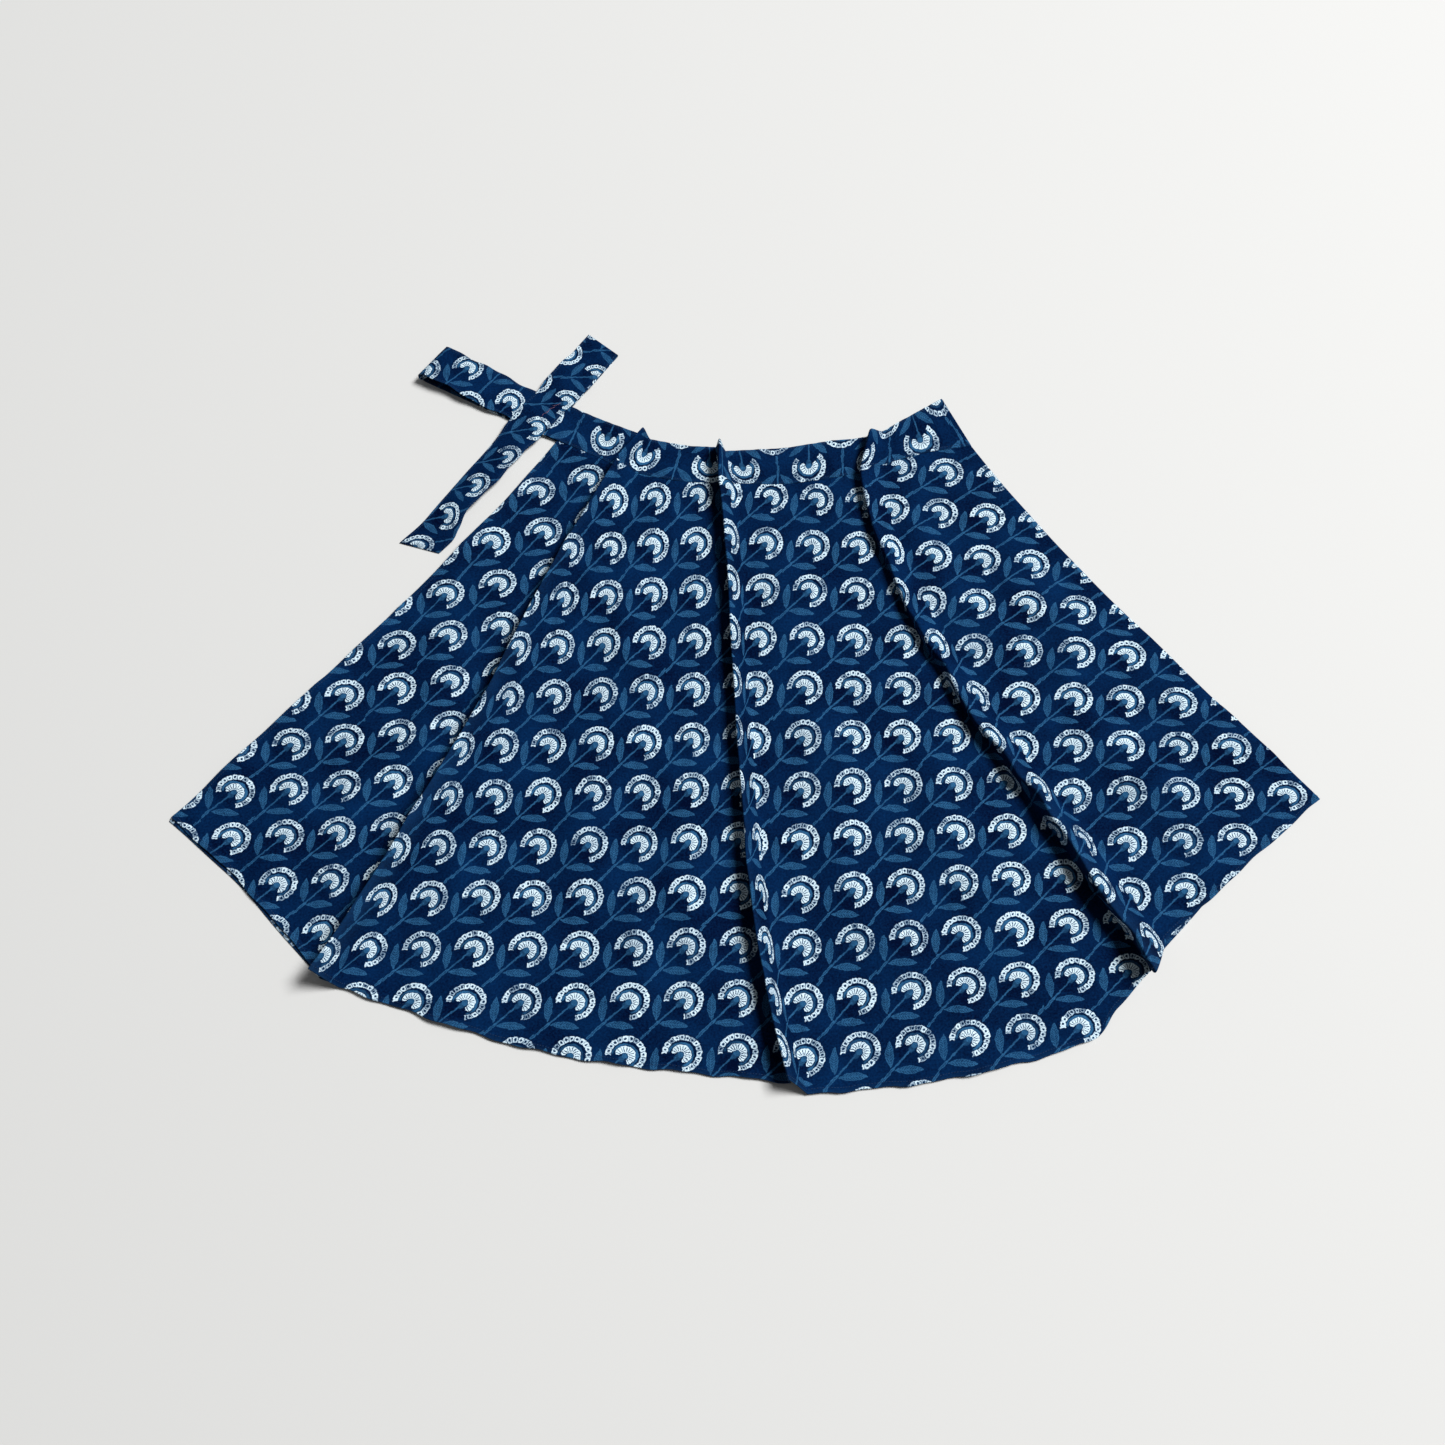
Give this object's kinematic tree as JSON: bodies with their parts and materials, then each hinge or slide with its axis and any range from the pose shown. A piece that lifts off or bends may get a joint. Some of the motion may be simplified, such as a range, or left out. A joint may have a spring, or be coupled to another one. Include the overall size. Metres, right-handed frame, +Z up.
{
  "type": "wrap skirt",
  "caption": "Flared wrap skirt with a waistband and long ties, folded in half and laid flat, with standing folds from waist to hem.",
  "frame": {"origin": "middle of the laid skirt's box, on the surface it lies on", "axes": "+X across the laid skirt to its folded side, +Y from the hem to the waist, +Z up off the surface"},
  "size_m": [1.2563, 0.8888, 0.0433],
  "materials": {
    "panel_cotton": "indigo cotton with a hand block printed flower repeat, matt",
    "band_cotton": "the same printed cotton cut on the bias, matt",
    "tie_cotton": "the same printed cotton cut on the bias, matt"
  },
  "bodies": {
    "root": {"skirt_front": "panel_cotton", "skirt_back": "panel_cotton", "waistband_front": "band_cotton", "waistband_back": "band_cotton", "tie_front": "tie_cotton", "tie_back": "tie_cotton"}
  },
  "joints": []
}
